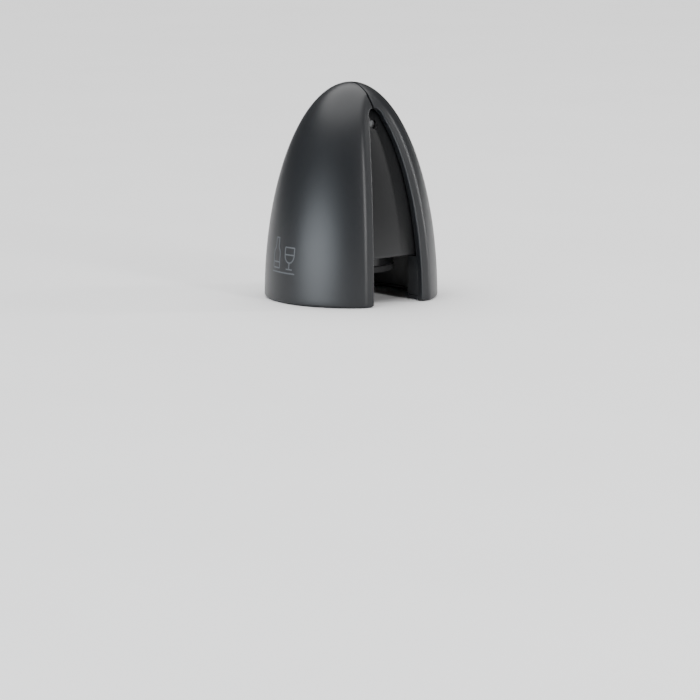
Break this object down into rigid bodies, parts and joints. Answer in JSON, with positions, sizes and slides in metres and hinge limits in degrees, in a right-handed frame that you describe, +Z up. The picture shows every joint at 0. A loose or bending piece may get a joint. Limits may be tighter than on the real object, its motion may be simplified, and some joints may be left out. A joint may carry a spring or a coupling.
{
  "type": "foil cutter",
  "caption": "Egg-shaped squeeze foil cutter: two hinged jaws carry small cutting wheels that score the foil round a bottle neck when it is turned.",
  "frame": {"origin": "centre of the foot, on the resting plane", "axes": "+Z up to the crown, jaws close along X, windows face -Y (front) and +Y (rear)"},
  "size_m": [0.048, 0.0428, 0.0594],
  "materials": {
    "grip_plastic": "satin charcoal",
    "core_plastic": "satin black",
    "jaw_plastic": "matte black",
    "cover_plastic": "satin black",
    "hub_plastic": "smooth dark grey",
    "blade_steel": "ground",
    "pin_steel": "turned",
    "spring_steel": "drawn wire",
    "stop_rubber": "matte"
  },
  "bodies": {
    "core": {"core_frame": "core_plastic", "bottle_stop_pad": "stop_rubber", "hinge_pin": "pin_steel", "left_return_spring": "spring_steel", "right_return_spring": "spring_steel"},
    "left_jaw": {"left_grip_shell": "grip_plastic", "left_jaw_frame": "jaw_plastic", "left_wheel_cover": "cover_plastic", "left_shell_screw": "pin_steel", "left_front_cover_screw": "pin_steel", "left_front_wheel_axle": "pin_steel", "left_rear_cover_screw": "pin_steel", "left_rear_wheel_axle": "pin_steel"},
    "right_jaw": {"right_grip_shell": "grip_plastic", "right_jaw_frame": "jaw_plastic", "right_wheel_cover": "cover_plastic", "right_shell_screw": "pin_steel", "right_front_cover_screw": "pin_steel", "right_front_wheel_axle": "pin_steel", "right_rear_cover_screw": "pin_steel", "right_rear_wheel_axle": "pin_steel"},
    "left_front_wheel": {"left_front_cutting_disc": "blade_steel", "left_front_wheel_hub": "hub_plastic"},
    "left_rear_wheel": {"left_rear_cutting_disc": "blade_steel", "left_rear_wheel_hub": "hub_plastic"},
    "right_front_wheel": {"right_front_cutting_disc": "blade_steel", "right_front_wheel_hub": "hub_plastic"},
    "right_rear_wheel": {"right_rear_cutting_disc": "blade_steel", "right_rear_wheel_hub": "hub_plastic"}
  },
  "joints": [
    {"name": "left_jaw_squeeze", "type": "hinge", "parent": "core", "child": "left_jaw", "pos_m": [0, 0, 0.0485], "axis": [0, -1, 0], "range_deg": [0, 2.5], "stiffness_Nm_per_rad": 0.5, "springref_deg": -3.44, "deforming": ["left_return_spring"]},
    {"name": "right_jaw_squeeze", "type": "hinge", "parent": "core", "child": "right_jaw", "pos_m": [0, 0, 0.0485], "axis": [0, 1, 0], "range_deg": [0, 2.5], "stiffness_Nm_per_rad": 0.5, "springref_deg": -3.44, "deforming": ["right_return_spring"]},
    {"name": "left_front_wheel_spin", "type": "hinge", "parent": "left_jaw", "child": "left_front_wheel", "pos_m": [-0.01315, -0.01315, 0.0019], "axis": [0, 0, 1], "continuous": true},
    {"name": "left_rear_wheel_spin", "type": "hinge", "parent": "left_jaw", "child": "left_rear_wheel", "pos_m": [-0.01315, 0.01315, 0.0019], "axis": [0, 0, 1], "continuous": true},
    {"name": "right_front_wheel_spin", "type": "hinge", "parent": "right_jaw", "child": "right_front_wheel", "pos_m": [0.01315, -0.01315, 0.0019], "axis": [0, 0, 1], "continuous": true},
    {"name": "right_rear_wheel_spin", "type": "hinge", "parent": "right_jaw", "child": "right_rear_wheel", "pos_m": [0.01315, 0.01315, 0.0019], "axis": [0, 0, 1], "continuous": true}
  ]
}
